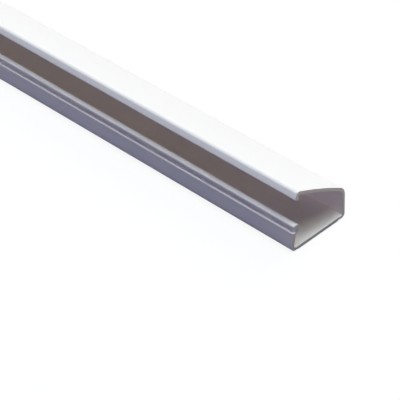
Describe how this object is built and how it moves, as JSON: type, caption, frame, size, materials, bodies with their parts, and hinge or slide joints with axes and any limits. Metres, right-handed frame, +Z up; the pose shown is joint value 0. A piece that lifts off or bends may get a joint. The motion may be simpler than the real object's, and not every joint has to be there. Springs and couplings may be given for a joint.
{
  "type": "adhesive cable raceway",
  "caption": "Straight length of white plastic latching cable raceway with its flap standing open and adhesive tape under its flat base.",
  "frame": {"origin": "middle of the length and of the base's width, on the underside of the release liner", "axes": "+X along the length, -Y towards the latch front, +Y towards the back wall, +Z up off the wall or floor that the base lies on"},
  "size_m": [0.4, 0.0254, 0.0226],
  "materials": {
    "white_pvc": "rigid white PVC, satin extruded skin with fine die lines",
    "foam_tape": "white closed-cell foam tape",
    "liner_paper": "smooth silicone-coated paper"
  },
  "bodies": {
    "root": {"raceway_channel": "white_pvc", "adhesive_tape": "foam_tape", "release_liner": "liner_paper"}
  },
  "joints": []
}
